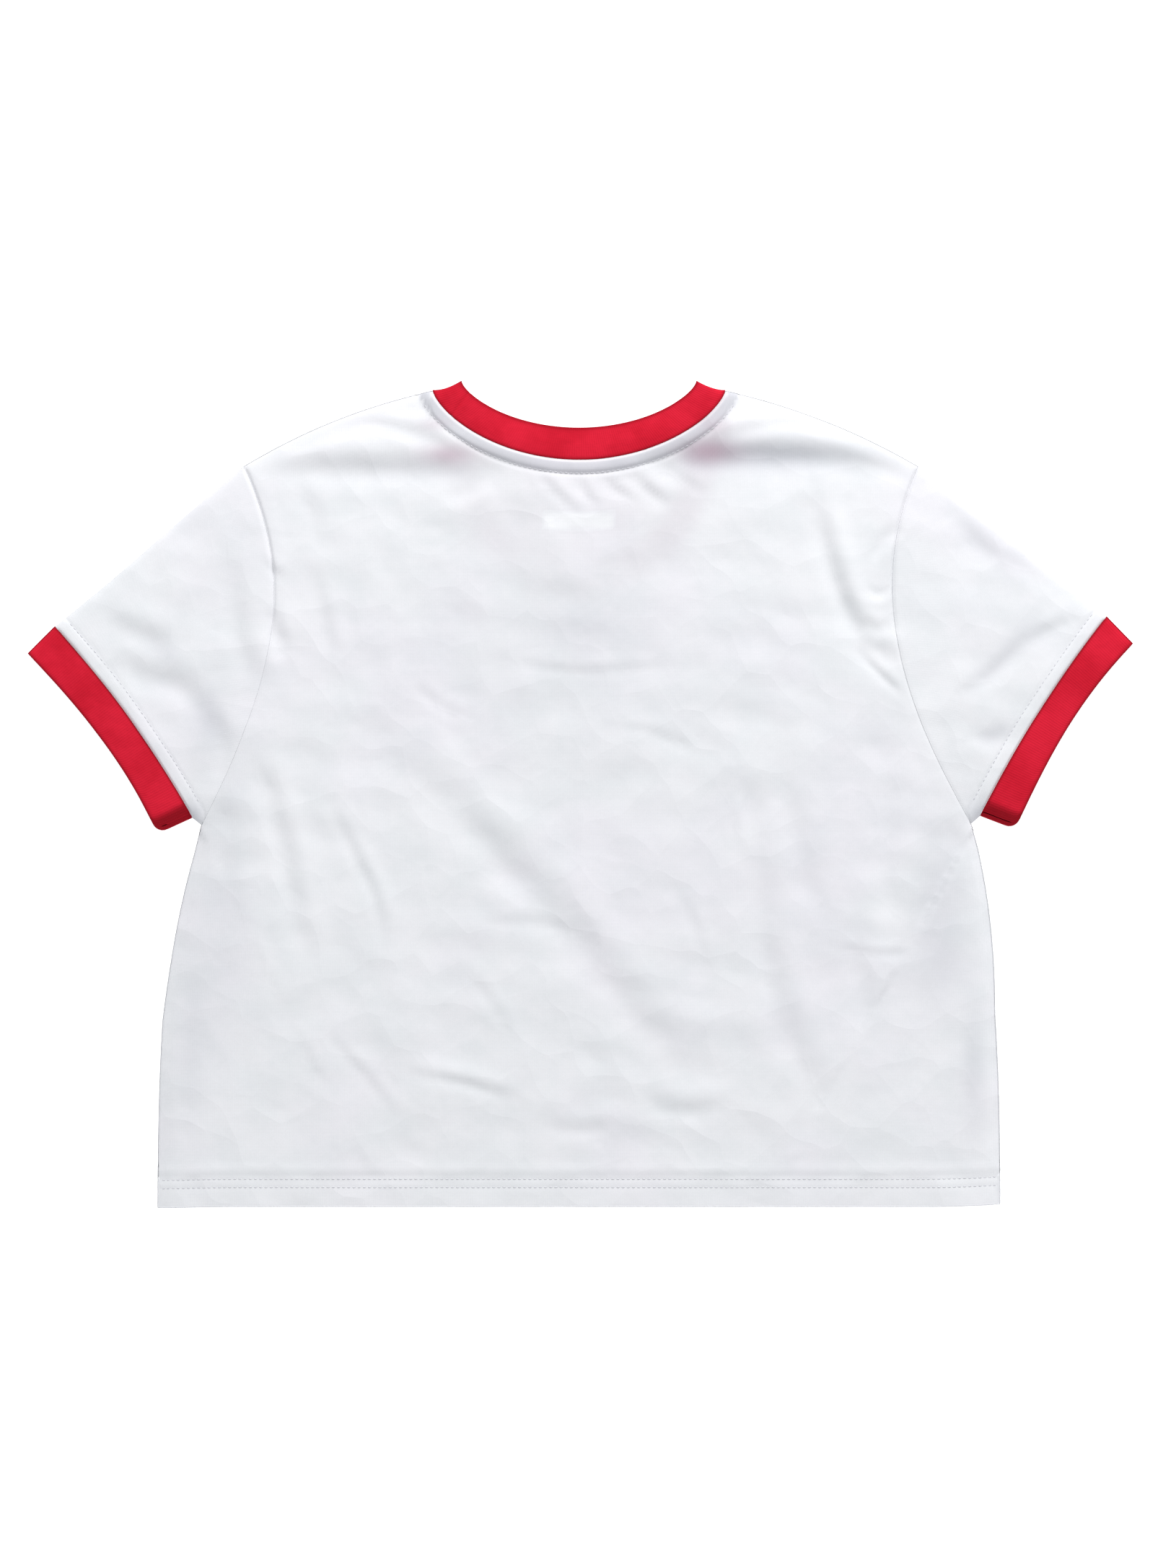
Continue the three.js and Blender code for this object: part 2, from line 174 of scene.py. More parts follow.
table_top, shader, place, _, _ = finish("white table top", 0.85, specular=0.3)
grain = noise(place, 9.0, 4.0)
feed(shader, "Base Color", grain.tint((0.95, 0.95, 0.95, 1), (0.97, 0.97, 0.97, 1)))
shader.inputs["Emission Color"].default_value = (1, 1, 1, 1)
shader.inputs["Emission Strength"].default_value = 0.6
mesh = bpy.data.meshes.new("table")
reach = 4
corners = [(x * reach, y * reach, -0.0002) for x, y in ((-1, -1), (1, -1), (1, 1), (-1, 1))]
mesh.from_pydata(corners, [], [(0, 1, 2, 3)])
mesh.materials.append(table_top)
table = bpy.data.objects.new("table", mesh)
scene.collection.objects.link(table)

# ---- Back of the body ----
# The upper layer of the shirt, one piece of fine cotton jersey cut from the hem to the shoulders.
# It is sewn to the front down both sides and along the shoulders, and hemmed at the bottom.
hem_y = -248.0
hem_half = 253.5
hem_depth = 18.0
turned_up = 0.7
underarm = np.array([231.5, -18.0])
shoulder_tip = np.array([203.0, 197.0])
shoulder_bow = 10.0
neck_point = np.array([88.0, 242.5])
hem_corner = np.array([hem_half, hem_y])
armhole_bow = np.array([38.0, 0.0])
back_drop = 41.5
front_drop = 123.5
topstitch_inset = 8.0
hem_row_heights = {"upper": 16.5, "lower": 11.5}


def mix(a, b, t):
    """The point a share t of the way from a to b."""
    return a + (b - a) * t


def by_length(points):
    """A curve through close points, as a function of the share of its length."""
    steps = np.linalg.norm(np.diff(points, axis=0), axis=1)
    share = np.append(0, np.cumsum(steps)) / steps.sum()
    return lambda t: np.stack([np.interp(t, share, points[:, k]) for k in (0, 1)], -1)


def bezier(*controls):
    """A Bezier curve: neighbouring controls are blended in pairs until one point is left."""
    t = np.linspace(0, 1, 241)[:, None]
    rows = [np.broadcast_to(np.asarray(c, float), (241, 2)) for c in controls]
    while len(rows) > 1:
        rows = [mix(a, b, t) for a, b in zip(rows, rows[1:])]
    return by_length(rows[0])


def neck_edge(half, top, drop, power):
    """x = half sin(turn), y = top - drop cos(turn)^power, as turn goes from -90 to 90 degrees."""
    turn = np.linspace(-np.pi / 2, np.pi / 2, 401)
    hang = np.maximum(np.cos(turn), 0) ** power
    return by_length(np.stack([half * np.sin(turn), top - drop * hang], -1))


side_seam = bezier(
    hem_corner,
    (hem_half, mix(hem_corner, underarm, 0.64)[1]),
    (mix(hem_corner, underarm, 0.48)[0], mix(hem_corner, underarm, 0.81)[1]),
    underarm,
)
armhole = bezier(
    shoulder_tip,
    mix(shoulder_tip, underarm, 0.3) - armhole_bow,
    mix(shoulder_tip, underarm, 0.58) - armhole_bow,
    underarm,
)
shoulder_out = np.array([neck_point[1] - shoulder_tip[1], shoulder_tip[0] - neck_point[0]])
shoulder_out /= np.linalg.norm(shoulder_out)
shoulder_middle = mix(neck_point, shoulder_tip, 0.5) + shoulder_bow * shoulder_out
shoulder_seam = bezier(neck_point, shoulder_middle, shoulder_tip)
back_neck = neck_edge(*neck_point, back_drop, 1.4)
front_neck = neck_edge(*neck_point, front_drop, 0.84)

shoulder_share = (shoulder_tip[0] - neck_point[0]) / (2 * shoulder_tip[0])
side_share = (underarm[1] - hem_y) / (shoulder_tip[1] - hem_y)
flip = np.array([-1.0, 1.0])


def panel(neck, u, v):
    """The cut of a panel, u across from left to right and v up from the hem. It is ruled from the hem to the
    shoulders and neck, and each side's curve is added there, fading out over the width of the shoulder."""
    v = v[..., None]
    low = side_seam(v[..., 0] / side_share)
    high = armhole((1 - v[..., 0]) / (1 - side_share))
    curve = np.where(v < side_share, low, high) - mix(hem_corner, shoulder_tip, v)
    left = shoulder_seam(np.clip(1 - u / shoulder_share, 0, 1)) * flip
    right = shoulder_seam(np.clip(1 - (1 - u) / shoulder_share, 0, 1))
    middle = neck((u - shoulder_share) / (1 - 2 * shoulder_share))
    across = u[..., None]
    top = np.where(across < shoulder_share, left, np.where(across > 1 - shoulder_share, right, middle))
    hem = mix(hem_corner * flip, hem_corner, across)
    from_right = np.maximum(1 - (1 - across) / shoulder_share, 0)
    from_left = np.maximum(1 - across / shoulder_share, 0)
    return mix(hem, top, v) + curve * from_right + curve * flip * from_left


# The sleeves, drawn here because the cloth's height runs on across the armholes.
overarm_way = np.array([np.cos(np.radians(39.6)), -np.sin(np.radians(39.6))])
underarm_way = np.array([np.cos(np.radians(40)), np.sin(np.radians(40))])
cuff_top = shoulder_tip + 147 * overarm_way
cuff_bottom = underarm + 7.8 * underarm_way
cuff_run = (cuff_bottom - cuff_top) / np.linalg.norm(cuff_bottom - cuff_top)
cuff_out = np.array([-cuff_run[1], cuff_run[0]])
cuff_depth = 22.5
edge_top = cuff_top + cuff_depth * cuff_out + 4.5 * cuff_run
edge_bottom = cuff_bottom + cuff_depth * cuff_out - 4.5 * cuff_run


def bowed(a, b, bow, c):
    """A line from a to b that bows towards the body by this much at its middle."""
    c = np.asarray(c, float)[..., None]
    return mix(a, b, c) - 4 * bow * c * (1 - c) * cuff_out


def cuff_seam(c):
    """The seam between sleeve and cuff, from the top of the sleeve to the underarm."""
    return bowed(cuff_top, cuff_bottom, 4, c)


def cuff_fold(c):
    """The cuff's folded outer edge, in the same direction."""
    return bowed(edge_top, edge_bottom, 6, c)


def beside(p, path):
    """Signed distance from points to a path of short straight runs, plus on its left, and the share of
    the path's length at the nearest point."""
    run = np.diff(path, axis=0)
    length = np.linalg.norm(run, axis=1)
    start = np.append(0, np.cumsum(length))
    near = np.full(p.shape[:-1], np.inf)
    side = np.ones(p.shape[:-1])
    share = np.zeros(p.shape[:-1])
    for k in range(len(run)):
        offset = p - path[k]
        t = np.clip(offset @ run[k] / length[k] ** 2, 0, 1)
        away = np.linalg.norm(offset - t[..., None] * run[k], axis=-1)
        closer = away < near
        near = np.where(closer, away, near)
        side = np.where(closer, np.sign(run[k, 0] * offset[..., 1] - run[k, 1] * offset[..., 0]), side)
        share = np.where(closer, (start[k] + t * length[k]) / start[-1], share)
    return near * side, share


def on_right(p):
    """The same points, with those of the left half mirrored to the right."""
    return np.abs(p) * [1, 0] + p * [0, 1]


def smooth(x, low, high):
    """0 below low, 1 above high, and a smooth step between them."""
    t = np.clip((x - low) / (high - low), 0, 1)
    return t * t * (3 - 2 * t)


def hump(x, width):
    """1 at zero, falling away on both sides as a bell of this width."""
    return np.exp(-((x / width) ** 2))


def laid(p):
    """Where a point of the cut lies on the table: the shirt lies a little askew, its sides swung to the
    wearer's right by up to 4.6 mm at the underarms, and its right sleeve higher than its left."""
    heights = [-135, -100, -70, -35, 0, 40, 105, 192, 232]
    swing = np.interp(p[..., 1], heights, [0, 2.0, 3.3, 4.6, 4.2, 3.2, 2.7, 1.3, 0])
    swing = swing * (1 - 0.7 * smooth(np.abs(p[..., 0]), 270, 330)) * smooth(np.abs(p[..., 0]), 40, 180)
    rise = 3.0 * np.sign(p[..., 0]) * smooth(np.abs(p[..., 0]), 205, 320)
    return p + np.stack([swing, rise], -1)


def curve_through(points):
    """A smooth path through a few points: a Catmull-Rom spline with twelve short runs between each two."""
    p = np.array([points[0], *points, points[-1]], float)
    t = np.linspace(0, 1, 13)[:, None]
    runs = [
        0.5 * (2 * b + (c - a) * t + (2 * a - 5 * b + 4 * c - d) * t**2 + (3 * b - a - 3 * c + d) * t**3)
        for a, b, c, d in zip(p, p[1:], p[2:], p[3:])
    ]
    return np.concatenate([runs[0][:1], *[r[1:] for r in runs]])


# Folds that the cloth has fallen into. Each is a path, its width, how deep the valley along it is, and
# how high the ridge to the left of it stands.
folds = [
    # The long fold from the wearer's left underarm down across the back.
    ([(-121, 32), (-84, -4), (-47, -42), (-2, -90), (34, -136), (80, -176)], 12, 1.9, 1.8),
    # Upright folds down the left side, which hangs between the underarm and the hem.
    ([(-231, -50), (-234, -100), (-232, -140), (-218, -204)], 8, 2.6, 1.2),
    ([(-205, 30), (-190, 5), (-180, -30), (-172, -70), (-166, -100)], 7, 1.2, 1.6),
    ([(-150, -6), (-136, -36), (-123, -63), (-117, -92)], 4, 1.1, 0.9),
    ([(-214, -20), (-212, -60), (-204, -110), (-194, -160)], 7, 0.9, 0.5),
    # Short creases low on the back.
    ([(-152, -145), (-131, -168), (-108, -196)], 3.5, 0.7, 0.5),
    ([(-102, -169), (-72, -174), (-38, -184)], 4, 1.2, 0.8),
    ([(-20, -200), (0, -203), (24, -200)], 5, 0.8, 0.4),
    ([(40, -186), (62, -192), (92, -186)], 6, 1.0, 0.7),
    ([(-58, -80), (-30, -78), (0, -84)], 4, 0.5, 0.4),
    ([(-42, 79), (0, 73), (54, 76)], 3.5, 0.5, 0.4),
    ([(20, 40), (44, 36), (70, 24)], 3.5, 0.5, 0.4),
    ([(84, 8), (92, -16), (96, -40)], 3.5, 0.5, 0.5),
    ([(147, -92), (185, -97), (224, -94)], 3, 0.6, 0.4),
    ([(-100, 66), (-84, 52), (-60, 44)], 4, 0.5, 0.4),
    ([(-70, -104), (-52, -128), (-40, -150)], 4, 0.5, 0.4),
    ([(58, -60), (70, -84), (76, -112)], 4, 0.5, 0.5),
    # Two long upright folds down the right half.
    ([(96, 12), (106, -40), (110, -90), (122, -140), (150, -190), (172, -226)], 9, 1.3, 1.7),
    ([(168, -84), (170, -122), (180, -178), (196, -216)], 9, 2.0, 2.0),
    ([(196, 40), (186, 20), (184, -30), (182, -80)], 9, 1.7, 0.8),
    # The slack at the right side, gathered into a pocket above the hem.
    ([(222, -10), (228, -60), (228, -110), (226, -160)], 20, 2.6, 0.0),
    ([(212, -40), (210, -90), (214, -140), (225, -172), (236, -140), (238, -90)], 9, 1.7, 0.2),
    # Folds that run from the right shoulder and armhole down the back.
    ([(190, 66), (170, 86), (154, 122), (142, 170)], 8, 1.5, 0.0),
    ([(141, 182), (150, 140), (164, 104), (186, 82), (200, 80)], 6, 1.3, 2.0),
    ([(168, 84), (180, 72), (194, 59)], 3, 1.1, 0.6),
    ([(120, 40), (124, 0), (132, -40), (146, -76)], 8, 0.9, 0.7),
    # Dimples and short folds in from the left armhole.
    ([(-186, 112), (-181, 92), (-177, 80)], 6, 2.2, 0.3),
    ([(-160, 130), (-156, 112), (-150, 84)], 5, 0.4, 1.1),
    ([(-172, 186), (-160, 168), (-162, 150)], 6, 0.8, 0.4),
    # Left sleeve: folds that run in from the cuff, and the tuck beside the body.
    ([(-290, 114), (-272, 98), (-244, 90)], 8, 1.5, 0.9),
    ([(-282, 84), (-262, 70), (-240, 62), (-222, 44)], 9, 2.0, 0.6),
    ([(-210, 132), (-206, 98), (-197, 66)], 8, 1.4, 1.0),
    ([(-222, 50), (-215, 30), (-220, 8)], 8, 1.7, 0.4),
    ([(-246, 160), (-262, 148), (-280, 134)], 7, 1.0, 0.3),
    # Right sleeve: the same, with one deep fold across it.
    ([(296, 104), (268, 91), (246, 70), (228, 60)], 6, 2.6, 0.0),
    ([(290, 117), (258, 94), (236, 74)], 5, 0.0, 1.6),
    ([(256, 140), (270, 136), (284, 122)], 8, 1.1, 0.3),
    ([(226, 164), (240, 150), (252, 138)], 8, 0.9, 0.4),
    ([(256, 40), (246, 33), (232, 36)], 6, 0.9, 0.4),
    # Puckers where the armhole seams draw the cloth in.
    ([(190, 160), (183, 152), (176, 140)], 4, 1.4, 0.6),
    ([(186, 124), (181, 120), (172, 122)], 3, 1.1, 0.5),
    ([(187, 103), (180, 99), (170, 104)], 5, 1.8, 0.4),
    ([(-190, 140), (-183, 133), (-176, 130)], 3, 0.8, 0.4),
    # The horizontal folds below both shoulders, where the cloth drops from the shoulder seams.
    ([(-196, 192), (-160, 193), (-110, 194), (-40, 190)], 9, 2.4, 2.2),
    ([(40, 193), (80, 200), (130, 201), (180, 196), (200, 192)], 9, 2.8, 2.4),
    ([(-150, 224), (-120, 222), (-92, 213), (-62, 200)], 5, 1.2, 1.0),
    ([(60, 205), (90, 214), (120, 222), (150, 222)], 5, 1.0, 0.8),
    # Short puckers that fan out below the back of the neck.
    ([(-56, 190), (-66, 182), (-84, 176)], 5, 1.0, 0.5),
    ([(-24, 192), (-14, 180), (0, 168)], 3.4, 0.9, 0.9),
    ([(0, 191), (3, 182), (10, 172)], 3, 1.0, 0.7),
    ([(14, 191), (20, 184), (32, 176)], 3, 1.0, 0.8),
    ([(30, 193), (40, 183), (54, 172)], 4, 1.3, 1.0),
    ([(48, 198), (60, 189), (76, 180)], 4, 1.0, 0.8),
]
folds = [(curve_through(path), width, valley, ridge) for path, width, valley, ridge in folds]
seam_share = np.linspace(0, 1, 49)
cuff_seam_path = cuff_seam(seam_share)
cuff_edge_path = cuff_fold(seam_share)
shoulder_path = np.concatenate([shoulder_seam(seam_share), [cuff_top, edge_top]])
side_path = np.concatenate([side_seam(seam_share), [cuff_bottom, edge_bottom]])
armhole_path = armhole(seam_share)
neck_path = back_neck(np.linspace(0, 1, 97))


def ripple(p, seed, wave):
    """Gentle unevenness: seven sine waves of about this wavelength, each in its own direction, averaged."""
    rng = np.random.default_rng(seed)
    total = 0
    for _ in range(7):
        turn, size, phase = rng.uniform(0, np.pi), rng.uniform(0.7, 1.5), rng.uniform(0, 2 * np.pi)
        way = np.array([np.cos(turn), np.sin(turn)]) * 2 * np.pi / (wave * size)
        total = total + np.sin(p @ way + phase)
    return total / 7**0.5


def upper(p, lift=0.0):
    """Points of the cut as they lie in the upper layer, on its top face. The height climbs quickly over the
    first few millimetres from a closed edge, then slowly; seams pull it down, and folds are added."""
    right = on_right(p)
    shoulder = np.abs(beside(right, shoulder_path)[0])
    side = np.abs(beside(right, side_path)[0])
    cuff_edge = np.abs(beside(right, cuff_edge_path)[0])
    neck = np.abs(beside(p, neck_path)[0])
    hem = p[..., 1] - hem_y
    inside = np.minimum.reduce([shoulder, side, neck + 6, cuff_edge + 16, hem + 22])
    z = 1.9 + 1.3 * (1 - np.exp(-inside / 2.2)) + 3.5 * (1 - np.exp(-inside / 26))
    shown = laid(p)
    free = smooth(np.minimum(shoulder, side), 1, 14)
    in_cuff = smooth(beside(right, cuff_seam_path)[0], -3, 1)
    calm = free * (1 - in_cuff) * smooth(hem, 12, 34)
    relief = 0.0
    for path, width, valley, ridge in folds:
        reach = 4 * width
        box = np.all((shown > path.min(0) - reach) & (shown < path.max(0) + reach), axis=-1)
        if box.any():
            away, share = beside(shown[box], path)
            fade = np.sin(np.pi * np.clip(share, 0.02, 0.98)) ** 0.7
            shape = ridge * hump(away - 1.6 * width, 1.1 * width) - valley * hump(away, 0.9 * width)
            added = np.zeros(box.shape)
            added[box] = shape * fade
            relief = relief + added
    relief = relief + 0.34 * ripple(shown, 3, 62) + 0.16 * ripple(shown, 8, 24)
    z = z + relief * calm
    # The hem is two layers, held down by its stitching, with a soft roll just above it.
    z = z + 0.2 * smooth(hem_depth + 0.5 - hem, 0, 1.5)
    z = z - 0.22 * hump(hem - hem_row_heights["upper"], 0.8)
    z = z - 0.14 * hump(hem - hem_row_heights["lower"], 0.8)
    z = z + 0.55 * hump(hem - 22, 3.4) + 0.3 * ripple(shown * [1, 0], 5, 26) * smooth(20 - hem, 0, 8)
    # The neck seam's allowance makes a raised roll, down to the topstitching that holds it.
    roll = smooth(neck, 0, 1.2)
    z = z + 1.5 * roll * np.sqrt(np.clip(1 - ((neck - 3.2) / 5.4) ** 2, 0, 1)) - 0.9 * hump(neck - 8.2, 1.3)
    # Armhole and cuff seams pull in; the armhole is deepest towards the shoulder.
    away, share = beside(right, armhole_path)
    depth = mix(1.4, 0.35, smooth(share, 0.3, 0.6))
    z = z - depth * hump(away, 1.1) * smooth(shoulder, 0, 4)
    z = z + 0.3 * hump(away + 6, 4.5) * smooth(share, 0.02, 0.1) * smooth(side, 2, 12)
    away, share = beside(right, cuff_seam_path)
    z = z - 1.4 * hump(away, 0.9) * smooth(np.minimum(shoulder, side), 0, 4)
    z = z + 0.3 * hump(away + 4, 3.4) - 0.35 * hump(away + topstitch_inset, 0.8)
    # The cuff rolls under along its last 8 mm, below its own seam.
    end = side * in_cuff + 99 * (1 - in_cuff)
    z = z - 1.4 * smooth(9 - end, 0, 7) - 0.5 * hump(end - 8, 0.9)
    z = np.minimum(z, 10.6)
    return np.concatenate([shown, (z + lift)[..., None]], -1)


def new_piece(name, points, faces, weave, material, body, marks=None):
    """A smooth mesh object from millimetre points and quads, with metres of cloth as its UV map. Its faces
    are turned outwards if the volume they close, summed as triple products, is below 0, and no point of it
    goes below the table."""
    corner = points[faces]
    volume = np.einsum("ij,ij->i", corner[:, 0], np.cross(corner[:, 1], corner[:, 2]))
    volume = volume.sum() + np.einsum("ij,ij->i", corner[:, 0], np.cross(corner[:, 2], corner[:, 3])).sum()
    if volume < 0:
        faces = faces[:, ::-1]
    mesh = bpy.data.meshes.new(name)
    points = np.concatenate([points[:, :2], np.maximum(points[:, 2:], 0)], 1)
    mesh.from_pydata((points / 1000).tolist(), [], faces.tolist())
    mesh.polygons.foreach_set("use_smooth", np.ones(len(faces), bool))
    layer = mesh.uv_layers.new(name="weave")
    layer.data.foreach_set("uv", (weave[faces.ravel()] / 1000).astype(np.float32).ravel())
    for label, values in (marks or {}).items():
        mesh.attributes.new(label, "FLOAT", "POINT").data.foreach_set("value", values.astype(np.float32))
    mesh.materials.append(material)
    piece = bpy.data.objects.new(name, mesh)
    scene.collection.objects.link(piece)
    if body:
        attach(piece, body)
    return piece


def shell(top, bottom, bulge=0.0):
    """Points and quads of a closed sheet: a top grid, a bottom grid, and a rim whose middle stands out."""
    m, n = top.shape[:2]
    index = np.arange(m * n).reshape(m, n)
    a, b, c, d = index[:-1, :-1], index[1:, :-1], index[1:, 1:], index[:-1, 1:]
    quads = np.stack([a, b, c, d], -1).reshape(-1, 4)
    edge = np.concatenate([index[0, :-1], index[:-1, -1], index[-1, :0:-1], index[:0:-1, 0]])
    flat = top.reshape(-1, 3)
    along = np.roll(flat[edge], -1, 0) - np.roll(flat[edge], 1, 0)
    out = np.stack([along[:, 1], -along[:, 0]], -1)
    out /= np.maximum(np.linalg.norm(along[:, :2], axis=1), 1e-6)[:, None]
    area = np.sum(flat[edge, 0] * np.roll(flat[edge, 1], -1) - flat[edge, 1] * np.roll(flat[edge, 0], -1))
    rim = (flat[edge] + bottom.reshape(-1, 3)[edge]) / 2
    rim[:, :2] += out * bulge * np.sign(area)
    first = 2 * m * n
    ring = np.arange(len(edge))
    after = np.roll(ring, -1)
    upper_rim = np.stack([edge, edge[after], first + after, first + ring], -1)
    lower_rim = np.stack([first + ring, first + after, m * n + edge[after], m * n + edge], -1)
    quads = np.concatenate([quads[:, ::-1], quads + m * n, upper_rim, lower_rim])
    return np.concatenate([flat, bottom.reshape(-1, 3), rim]), quads, edge


def panel_grid(neck, columns, step):
    """Stations across and up a panel, close together at the seams, the hem and the neck."""
    width, height = 2 * hem_half, shoulder_tip[1] - hem_y
    sides = np.array([0, 0.5, 1.1, 2, 3.2, 4.8]) / width
    inner = np.linspace(6.8 / width, 1 - 6.8 / width, columns)
    u = np.concatenate([sides, inner, 1 - sides[::-1]])
    hem_rows = [0, 0.7, 1.8, 4, 7, 10, 11, 11.5, 12, 13, 15, 16, 16.5, 17, 18, 18.8, 20, 21.5, 23, 25]
    top_rows = np.array([0, 0.4, 0.8, 1.2, 2, 3, 4.2, 5.6, 6.8, 7.4, 8, 8.6, 9.4, 10.6, 12])
    middle = np.arange(27, height - 13, step)
    v = np.concatenate([hem_rows, middle, height - top_rows[::-1]]) / height
    v, u = np.meshgrid(v, u, indexing="ij")
    return panel(neck, u, v)


# The neckband's folded edges, and the middle of its front half, which shows through the back.
band_end = (70.5, 248.0)
back_edge = neck_edge(*band_end, 27.5, 1.4)
front_edge = neck_edge(*band_end, 109.5, 0.84)
band_share = np.linspace(0.03, 0.97, 60)
front_band_path = mix(front_neck(band_share), front_edge(band_share), 0.5)


def show_through(p):
    """Up to 1 where the red front neckband is pressed against the back, and little elsewhere along it. It is
    below 0 where the white label or the turned-up hem doubles the cloth."""
    x, y = p[..., 0], p[..., 1]
    away = np.abs(beside(p, front_band_path)[0])
    band = smooth(16 - away, 0, 14) * (0.07 + 0.10 * smooth(y, 130, 185) * (x > 0))
    pressed = 0.62 * hump(x + 79, 16) * hump(y - 204, 6) + 0.75 * hump(x - 79, 18) * hump(y - 206, 7)
    pressed = pressed + 0.30 * hump(x + 88, 9) * hump(y - 222, 4)
    pressed = pressed + 0.30 * hump(x - 84, 10) * hump(y - 221, 4)
    inner = smooth(y, 128, 150) * smooth(80 - np.abs(x), 0, 30) * 0.07
    label = smooth(22 - np.abs(x), 0, 3) * smooth(y, 159, 161) * smooth(170 - y, 0, 3)
    whiter = 0.8 * label + 0.4 * smooth(hem_y + hem_depth + 0.4 - y, 0, 0.8)
    return np.clip(band + pressed + inner, 0, 1) * (1 - label) - whiter


def greyed(p):
    """Up to 1 where painted shade darkens the cloth: along the neck's roll, below the shoulders, down both
    sides, as a painted shadow along the open hem, and in a few broad hollows."""
    neck = np.abs(beside(p, neck_path)[0])
    # Painted shadow: a thin dark line at the hem's open edge, where the glowing table shows no shadow.
    hem_shadow = smooth(hem_y + 0.9 - p[..., 1], 0, 0.9)
    x, y = laid(p)[..., 0], laid(p)[..., 1]
    shade_amount = 1.2 * hem_shadow + 0.95 * smooth(neck, 0.8, 2.4) * smooth(8.4 - neck, 0, 0.8)
    shade_amount = shade_amount + 1.1 * hump(y - 203, 10) * smooth(x, 50, 72) * smooth(215 - x, 0, 110)
    shade_amount = shade_amount + 0.42 * hump(y - 195, 8) * smooth(-x, 50, 72) * smooth(190 + x, 0, 120)
    shade_amount = shade_amount + 0.52 * hump(x - 217, 17) * smooth(y, -150, -95) * smooth(5 - y, 0, 60)
    shade_amount = shade_amount + 0.45 * hump(x - 237, 7) * hump(y + 165, 36)
    shade_amount = shade_amount + 0.26 * hump(x + 213, 17) * smooth(y, -175, -110) * smooth(45 - y, 0, 60)
    shade_amount = shade_amount + 0.28 * hump(x + 233, 9) * hump(y + 140, 56)
    shade_amount = shade_amount + 0.10 * hump(x - 50, 110) * hump(y + 40, 110) + 0.20 * hump(x + 20, 90) * hump(y - 85, 60)
    shade_amount = shade_amount + 0.10 * hump(x - 139, 26) * hump(y + 50, 70) + 0.30 * hump(x - 4, 28) * hump(y - 105, 17)
    return np.clip(shade_amount, 0, 1)


def bump(place, height, depth, under=None):
    """A surface normal from a height signal, over another normal, this many metres deep."""
    inputs = {"Height": height, "Distance": depth, "Strength": 1.0}
    if under:
        inputs["Normal"] = under
    return place.make("ShaderNodeBump", inputs=inputs)


white_jersey, shader, place, across, along = finish("white jersey", 0.92, sheen=0.12)
wale = abs((across * (np.pi / 0.0011)).sine())
course = abs((along * (np.pi / 0.0009)).sine())
mottle = noise(place, 26, 6, 0.66, (1, 1.25, 1))
warm = noise(place, 9, 3, 0.5)
speck = noise(place, 900, 2, 0.6)
seen = Signal(place.make("ShaderNodeAttribute", {"attribute_name": "show_through"}, output=2).socket)
tone = mottle.ramp(0.34, 0.64).tint((0.768, 0.781, 0.803, 1), (0.806, 0.808, 0.832, 1))
tone = warm.ramp(0.42, 0.66).tint(tone, (1.0, 0.984, 1.0, 1), "MULTIPLY")
# Painted shade: this attribute darkens the jersey towards a grey in folds, hollows, along the neck's roll
# and at the hem's edge.
shade_signal = Signal(place.make("ShaderNodeAttribute", {"attribute_name": "greyed"}, output=2).socket)
tone = shade_signal.tint(tone, (0.755, 0.76, 0.785, 1), "MULTIPLY")
tone = seen.tint(tone, (0.50, 0.38, 0.45, 1))
tone = (0 - seen).ramp(0.0, 1.0).tint(tone, (0.86, 0.865, 0.885, 1))
tone = speck.ramp(0.8, 0.2).tint(tone, (0.975, 0.975, 0.975, 1), "MULTIPLY")
feed(shader, "Base Color", tone)
crinkle = noise(place, 46, 2, 0.45)
normal = bump(place, crinkle, 0.0008)
drifted = {"Vector": place, "Location": noise(place, 14, 2, 0.5) * 0.05}
facets = {"Vector": place.make("ShaderNodeMapping", inputs=drifted), "Scale": 36.0}
normal = bump(place, place.make("ShaderNodeTexVoronoi", {"feature": "F1"}, facets), 0.0011, normal)
normal = bump(place, wale * 0.5 + course * 0.3 + speck * 0.5, 0.00004, normal)
feed(shader, "Normal", normal)
feed(shader, "Roughness", speck * 0.1 + 0.85)

plan = panel_grid(back_neck, 196, 2.45)
top = upper(plan)
hem = plan[..., 1] - hem_y
single = 0.8 + turned_up * smooth(hem_depth + 0.4 - hem, 0, 0.6)
closed = np.minimum(*[np.abs(beside(on_right(plan), path)[0]) for path in (side_path, shoulder_path)])
bottom = top.copy()
bottom[..., 2] -= mix(top[..., 2] - 0.85, single, smooth(closed, 0, 1.2))
points, faces, edge = shell(top, bottom, 0.45)
weave = np.concatenate([plan.reshape(-1, 2), plan.reshape(-1, 2), plan.reshape(-1, 2)[edge]])
# The back carries the red show-through and its painted shade as point attributes.
marks = {"show_through": show_through(weave), "greyed": greyed(weave)}
back_cloth = new_piece("back_cloth", points, faces, weave, white_jersey, "torso", marks)
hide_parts("back_panel")

# ---- Front of the body ----
# The same jersey under it, flat on the table, with a lower neck edge. Its hem is turned up inside.
jersey_wall = 0.75
plan = panel_grid(front_neck, 90, 5)
under = laid(plan)
hem = plan[..., 1] - hem_y
swell = 0.25 * (1 + ripple(under, 12, 70)) * smooth(hem, 0, 40)
thick = jersey_wall + turned_up * smooth(hem_depth + 0.4 - hem, 0, 0.6)
closed = np.abs(beside(on_right(plan), side_path)[0])
swell = np.clip(swell, 0, 0.6) * smooth(closed, 0, 12)
bottom = np.concatenate([under, swell[..., None]], -1)
top = np.concatenate([under, (swell + thick)[..., None]], -1)
points, faces, edge = shell(top, bottom, 0.35)
weave = np.concatenate([plan.reshape(-1, 2), plan.reshape(-1, 2), plan.reshape(-1, 2)[edge]])
front_cloth = new_piece("front_cloth", points, faces, weave, white_jersey, "torso")
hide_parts("front_panel")
